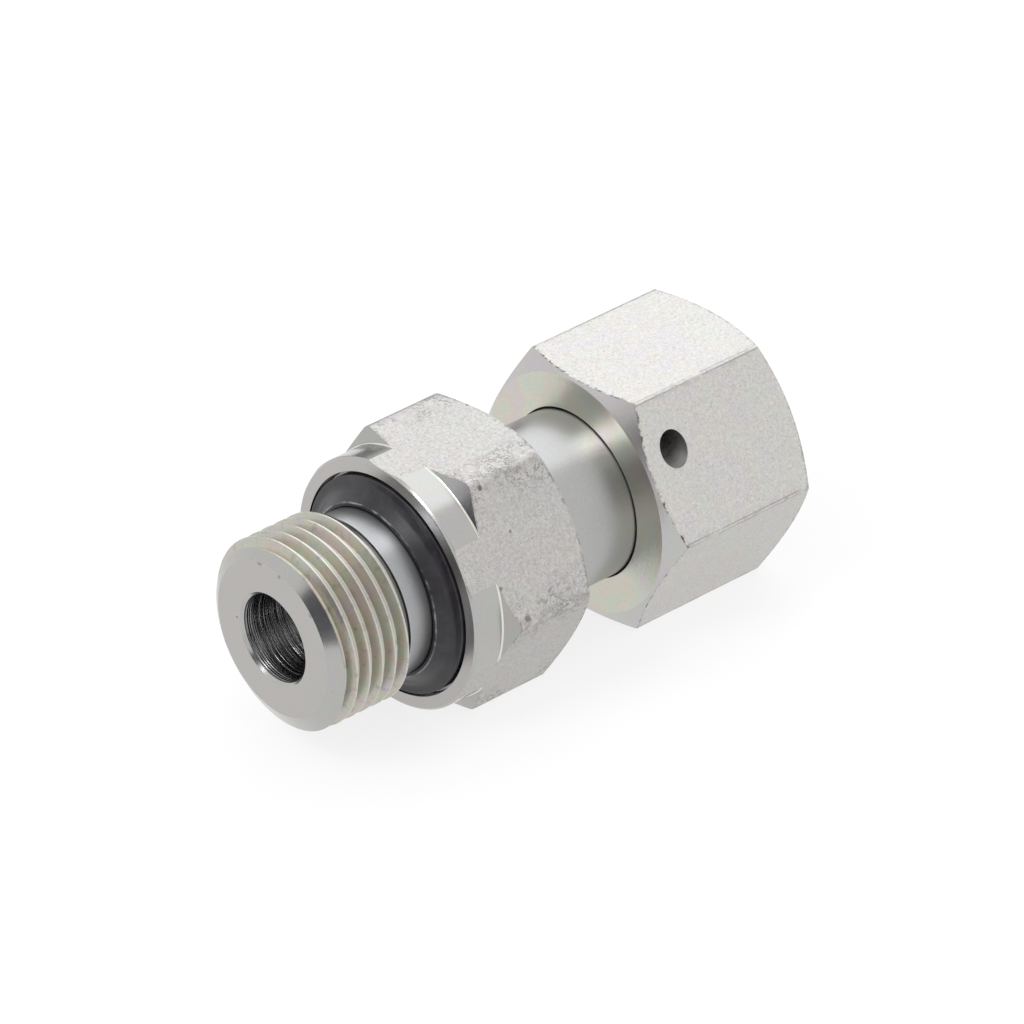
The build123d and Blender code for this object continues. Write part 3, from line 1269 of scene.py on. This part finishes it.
@dataclass
class SwivelNut:
    """The union nut that turns on the neck, held by the wire.

    The hole's flat is given by its angle in degrees, from Y towards Z, and the hole's offset is how far
    above the flat's middle it opens.
    """

    hexagon: Hexagon
    groove: WireGroove
    back: float = 20.5
    front: float = 36.5
    back_ring: float = 10.65
    front_ring: float = 10.2
    bar_corner: float = 0.25
    bore: float = 7.54
    land_end: float = 25.1
    thread_major: float = 9.0
    thread_core: float = 8.188
    thread_pitch: float = 1.5
    thread_length: float = 7.2
    thread_turns: int = 6
    relief: float = 9.15
    relief_width: float = 1.0
    hole_radius: float = 1.35
    hole_offset: float = 1.6
    hole_flat: float = 150.0

    def profile(self) -> list[Corner]:
        """What the lathe leaves of the nut, outside and in.

        Returns:
            The profile's corners.
        """
        beyond = self.hexagon.beyond
        relief_start = self.land_end + (self.relief - self.bore)
        relief_end = relief_start + self.relief_width
        core_start = relief_end + (self.relief - self.thread_core)
        return [
            Corner(self.back, self.bore, 0.12, 4),
            Corner(self.back, self.back_ring, 0.05, 2),
            Corner(self.back + (beyond - self.back_ring) * SHOULDER_SLOPE, beyond),
            Corner(self.front - (beyond - self.front_ring) * SHOULDER_SLOPE, beyond),
            Corner(self.front, self.front_ring, 0.05, 2),
            Corner(self.front, self.thread_major, 0.05, 2),
            Corner(self.front - (self.thread_major - self.thread_core), self.thread_core),
            Corner(core_start, self.thread_core),
            Corner(relief_end, self.relief, 0.2, 3),
            Corner(relief_start, self.relief, 0.2, 3),
            Corner(self.land_end, self.bore, 0.1, 3),
            *self.groove.corners(self.bore, 1.0),
        ]

    def thread_groove(self) -> list[Point]:
        """Outline of the metric thread's groove in the nut, 60 degrees.

        Returns:
            The outline's points, as x and radius.
        """
        crest_half = 3.0 * self.thread_pitch / 8.0
        root_half = crest_half - (self.thread_major - self.thread_core) * tan(radians(30.0))
        side = [
            (crest_half, self.thread_core - 0.4),
            (crest_half, self.thread_core),
            (root_half, self.thread_major - 0.02),
        ]
        return thread_shape(side, self.thread_major + 0.03)

    def hole_line(self) -> tuple[Vector, Vector, float]:
        """Where the wire hole runs, slanted so that it is tangent to the middle of the groove.

        Returns:
            The hole's mouth, its direction outwards, and its length to the middle of the groove.
        """
        apothem = self.hexagon.across_flats / 2.0
        reach = hypot(apothem, self.hole_offset)
        slant = degrees(asin(self.groove.ring / reach) - atan(self.hole_offset / apothem))
        run = sqrt(reach**2 - self.groove.ring**2)
        flat, aim = radians(self.hole_flat), radians(self.hole_flat + slant)
        out = Vector((0.0, cos(aim), sin(aim)))
        mouth_y = apothem * cos(flat) + self.hole_offset * sin(flat)
        mouth_z = apothem * sin(flat) - self.hole_offset * cos(flat)
        return Vector((self.groove.place, mouth_y, mouth_z)), out, run

    def wire_drill(self) -> bpy.types.Object:
        """The drill that opens the wire hole.

        Returns:
            The drill, in object mode.
        """
        mouth, out, run = self.hole_line()
        clear_bench()
        bpy.ops.mesh.primitive_cylinder_add(
            vertices=64,
            radius=self.hole_radius,
            depth=2.0 * run,
            location=mouth,
            rotation=out.to_track_quat("Z", "Y").to_euler(),
        )
        return settled("wire_drill")

    def build(self) -> bpy.types.Object:
        """Models and dresses the nut.

        Returns:
            The nut, in metres.
        """
        nut = turned("union_nut_worked", self.profile())
        start, end = self.back - OVERSHOOT, self.front + OVERSHOOT
        cut(nut, hexagon_bar(self.hexagon.across_flats, start, end, self.bar_corner), "INTERSECT")
        first = self.front - self.thread_length
        cut(nut, thread_tool(self.thread_groove(), self.thread_pitch, first, self.thread_turns))
        cut(nut, self.wire_drill())
        dress(nut, self.finishes(), self.region)
        return finished(nut)

    def finishes(self) -> dict[NutRegion, Finish]:
        """The nut's finishes.

        Returns:
            The finish of each region.
        """
        edges = (
            Edge(self.back, self.back_ring, inward=1.0, bruise=1.0),
            Edge(self.front, self.front_ring, inward=-1.0, bruise=0.35),
        )
        return {
            NutRegion.TURNED: TurnedSteel(
                "zinc_turned_nut", (0.60, 0.59, 0.565), 0.16, film=0.65, film_per_mm=0.20, satin=0.3,
                rings=Rings(Lay.FACED, 0.02, 0.010, 0.25),
            ),
            NutRegion.BAR: BarSteel(
                "zinc_bar_nut", (0.62, 0.607, 0.592), 0.45, film=0.20,
                edges=edges, corner_radius=12.5, corner_wear=0.45, corner_line=0.5,
            ),
            NutRegion.THREAD: TurnedSteel(
                "zinc_nut_thread", (0.50, 0.50, 0.48), 0.36, film=0.20,
                rings=Rings(Lay.AROUND, 0.08, 0.002, 0.2),
            ),
            NutRegion.SHOULDER: TurnedSteel(
                "zinc_nut_shoulder", (0.53, 0.525, 0.53), 0.26, film=0.30, film_per_mm=0.25, satin=0.3,
                rings=Rings(Lay.FACED, 0.02, 0.006, 0.25),
            ),
            NutRegion.HOLE: TurnedSteel(
                "steel_wire_hole", (0.36, 0.345, 0.335), 0.65, film=0.05, satin=1.0, grime=0.8,
                rings=Rings(Lay.FACED, 0.3, 0.01, 0.5),
            ),
        }

    def region(self, face: bpy.types.MeshPolygon) -> NutRegion:
        """Which finish a face of the nut has, by its place and the way it faces.

        Args:
            face: A face of the nut, in millimetres.

        Returns:
            The face's region.
        """
        mouth, out, run = self.hole_line()
        x, y, z = face.center
        from_mouth = face.center - mouth
        in_hole = -run - OVERSHOOT < from_mouth.dot(out) < 0.9
        if in_hole and abs(from_mouth.cross(out).length - self.hole_radius) < 0.06:
            return NutRegion.HOLE
        if abs(face.normal.x) < ALONG and self.hexagon.on_bar(y, z):
            return NutRegion.BAR
        if hypot(y, z) < self.thread_major + 0.2 and self.back + 0.1 < x:
            return NutRegion.THREAD
        return NutRegion.SHOULDER if abs(face.normal.x) < END_ON else NutRegion.TURNED


@dataclass
class PortSeal:
    """The rubber seal in the collar's recess, with a lip that grips the undercut."""

    inner: float = 7.265
    outer: float = 9.55
    depth: float = StudBody.recess_depth
    lip_height: float = 1.3
    lip_width: float = 0.3
    lip_highlight_offset: float = 0.34
    foot_width: float = 1.4
    foot_dip: float = 0.02
    rim_height: float = 0.15
    steps: int = 160

    def build(self) -> bpy.types.Object:
        """Models and dresses the seal.

        Returns:
            The seal, in metres.
        """
        profile = [
            Corner(self.depth, self.inner),
            Corner(-self.lip_height, self.inner, 0.1, 4),
            Corner(-self.lip_height, self.inner + self.lip_width, 0.14, 6),
            Corner(-self.rim_height - self.foot_dip, self.inner + self.foot_width, 1.1, 12),
            Corner(-self.rim_height, self.outer, 0.12, 6),
            Corner(self.depth, self.outer),
        ]
        seal = turned("stud_seal_moulded", profile, self.steps)
        # Where the painted highlight runs along the lip
        lip_highlight = self.inner + self.lip_highlight_offset
        rubber = Rubber("seal_rubber_moulded", (0.011, 0.009, 0.013), 0.34, lip_highlight_radius=lip_highlight)
        seal.data.materials.append(rubber.material())
        return finished(seal)


@dataclass
class ConeRing:
    """The O-ring on the cone nose."""

    middle: float = 5.676
    section: float = 1.45
    place: float = StudBody.ring_place

    def build(self) -> bpy.types.Object:
        """Models and dresses the O-ring.

        Returns:
            The O-ring, in metres.
        """
        clear_bench()
        bpy.ops.mesh.primitive_torus_add(
            location=(self.place, 0.0, 0.0),
            rotation=(0.0, pi / 2.0, 0.0),
            major_radius=self.middle,
            minor_radius=self.section / 2.0,
            major_segments=144,
            minor_segments=28,
        )
        ring = settled("cone_o_ring_moulded")
        rubber = Rubber("o_ring_rubber_moulded", (0.022, 0.022, 0.023), 0.36)
        ring.data.materials.append(rubber.material())
        return finished(ring, 60.0)


@dataclass
class RetainingWire:
    """The wire that holds the nut, which keeps its CAD mesh."""

    node: str = "retaining_wire"

    def dress(self) -> None:
        """Gives the wire the finish of drawn steel."""
        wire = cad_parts[self.node]
        rings = Rings(Lay.FACED, 0.10, 0.0006, 0.05)
        drawn_steel = TurnedSteel("wire_drawn", (0.40, 0.40, 0.40), 0.35, rings=rings)
        wire.data.materials.clear()
        wire.data.materials.append(drawn_steel.material())
        log.info("%s keeps its CAD mesh, %d faces", self.node, len(wire.data.polygons))


# Studio


@dataclass
class Studio:
    """Floor, light and camera, as fitted to the photograph.

    The camera is placed from the middle of the stud's end, which the photograph shows so many
    millimetres right and down of its own middle. Angles are in degrees.
    """

    floor_height: float = -Hexagon.across_flats / 2.0
    elevation: float = 32.283
    heading: float = 40.893
    roll: float = -1.033
    distance: float = 640.7
    stud_end_right: float = -19.187
    stud_end_down: float = 10.209
    stud_end_x: float = StudBody.stud_end
    lens: float = 281.25
    sensor: float = 36.0

    def build(self) -> None:
        """Sets up the whole studio."""
        self.floor()
        self.world()
        self.lamps()
        self.cards()
        self.camera()

    def floor(self) -> None:
        """A plain white floor that keeps a soft shadow of the object."""
        clear_bench()
        bpy.ops.mesh.primitive_plane_add(size=6.0, location=(0.0, 0.0, self.floor_height * METRES))
        floor = bpy.context.object
        floor.name = "studio_floor"
        paint, sheet = blank_material("floor_white")
        matt = sheet.node("ShaderNodeBsdfDiffuse", inputs={"Color": (0.93, 0.93, 0.93)})
        glow = sheet.node("ShaderNodeEmission", inputs={"Color": WHITE, "Strength": 1.0})
        path = sheet.node("ShaderNodeLightPath")
        seen = (path.out("Is Camera Ray") * 0.80).most(path.out("Is Glossy Ray") * 0.92)
        sheet.show(sheet.node("ShaderNodeMixShader", inputs={0: seen, 1: matt.out(0), 2: glow.out(0)}))
        floor.data.materials.append(paint)

    def world(self) -> None:
        """A white surround at strength 1, the same for the camera, for reflections and for light."""
        world = bpy.data.worlds.new("white_tent")
        bpy.context.scene.world = world
        world.use_nodes = True
        sheet = NodeSheet(world.node_tree)
        glow = sheet.node("ShaderNodeBackground", inputs={"Color": WHITE, "Strength": 1.0})
        sheet.node("ShaderNodeOutputWorld", inputs={"Surface": glow.out(0)})

    def lamp(self, name: str, place: tuple[float, float, float], size: float, power: float) -> None:
        """Adds a square soft lamp that shines at the object.

        Args:
            name: The lamp's name.
            place: Where it hangs, in metres.
            size: Its side in metres.
            power: Its power in watts.
        """
        light = bpy.data.lights.new(name, "AREA")
        light.shape = "SQUARE"
        light.size = size
        light.energy = power
        light.color = (0.94, 0.97, 1.0)
        lamp = bpy.data.objects.new(name, light)
        lamp.location = place
        lamp.rotation_euler = (-Vector(place)).to_track_quat("-Z", "Y").to_euler()
        bpy.context.collection.objects.link(lamp)

    def lamps(self) -> None:
        """One large soft lamp above and behind the object, and a small one on the left."""
        self.lamp("back_light", place=(0.54, 0.38, 0.79), size=1.1, power=2.8)
        self.lamp("left_light", place=(-0.56, 0.02, 0.70), size=0.32, power=2.0)

    def card(
        self, name: str, place: tuple[float, float], width: float, height: float, shade: Colour
    ) -> None:
        """Stands a card on the floor, out of the camera's view, that only reflections see.

        Args:
            name: The card's name.
            place: Its x and y, in metres. It faces the object.
            width: Its width in metres.
            height: Its height above the floor in metres.
            shade: Its colour.
        """
        clear_bench()
        middle = self.floor_height * METRES + height / 2.0
        facing = Vector((*place, 0.0)).to_track_quat("Z", "X").to_euler()
        bpy.ops.mesh.primitive_plane_add(size=1.0, location=(*place, middle), rotation=facing)
        # The tracked turn stands the plane's own X axis up
        bpy.context.object.scale = (height, width, 1.0)
        card = settled(name)
        card.visible_camera = False
        card.visible_shadow = False
        card.visible_diffuse = False
        paint, sheet = blank_material(name)
        sheet.show(sheet.node("ShaderNodeBsdfDiffuse", inputs={"Color": shade}))
        card.data.materials.append(paint)

    def cards(self) -> None:
        """The cards that turned surfaces mirror: beyond the stud, at the camera, and behind."""
        self.card("card_dark", (-0.066, -0.0055), width=0.026, height=0.056, shade=(0.12, 0.123, 0.14))
        self.card("card_camera", (-0.194, -0.224), width=0.13, height=0.27, shade=(0.06, 0.06, 0.06))
        self.card("card_grey", (0.17, 0.25), width=0.34, height=0.085, shade=(0.20, 0.20, 0.205))

    def camera(self) -> None:
        """The camera, from the object's own pose in the photograph."""
        lift, turn, tip = radians(self.elevation), radians(self.heading), radians(self.roll)
        level = Vector((cos(turn), -sin(turn), 0.0))
        down = Vector((-sin(lift) * sin(turn), -sin(lift) * cos(turn), -cos(lift)))
        ahead = Vector((cos(lift) * sin(turn), cos(lift) * cos(turn), -sin(lift)))
        right = level * cos(tip) - down * sin(tip)
        down = level * sin(tip) + down * cos(tip)
        stud_end = Vector((self.stud_end_x, 0.0, 0.0))
        stand = stud_end - right * self.stud_end_right - down * self.stud_end_down - ahead * self.distance
        lens = bpy.data.cameras.new("photo_camera")
        lens.lens = self.lens
        lens.sensor_width = self.sensor
        lens.clip_start = 0.05
        lens.clip_end = 20.0
        camera = bpy.data.objects.new("photo_camera", lens)
        turned_to = Matrix((right, -down, -ahead)).transposed().to_4x4()
        camera.matrix_world = Matrix.Translation(stand * METRES) @ turned_to
        bpy.context.collection.objects.link(camera)
        bpy.context.scene.camera = camera
        bpy.context.scene.view_settings.view_transform = "Standard"


# Bringing it together


@dataclass(frozen=True)
class Assembly:
    """How one worked piece joins the CAD frame."""

    piece: bpy.types.Object
    body: str
    node: str
    slot: str

    def join(self) -> None:
        """Lets the piece ride on its body and stand for its CAD node."""
        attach(self.piece, self.body)
        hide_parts(self.node)
        log.info("%s stands for %s, %d faces", self.piece.name, self.node, len(self.piece.data.polygons))


def main() -> None:
    """Builds every piece in order."""
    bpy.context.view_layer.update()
    Studio().build()
    hexagon, groove = Hexagon(), WireGroove()
    Assembly(StudBody(hexagon, groove).build(), "coupling_body", "stud_body", "body_steel").join()
    Assembly(SwivelNut(hexagon, groove).build(), "swivel_nut", "union_nut", "nut_steel").join()
    Assembly(PortSeal().build(), "coupling_body", "stud_seal", "seal_rubber").join()
    Assembly(ConeRing().build(), "coupling_body", "cone_o_ring", "o_ring_rubber").join()
    RetainingWire().dress()
    bpy.context.view_layer.update()


if __name__ == "__main__":
    main()
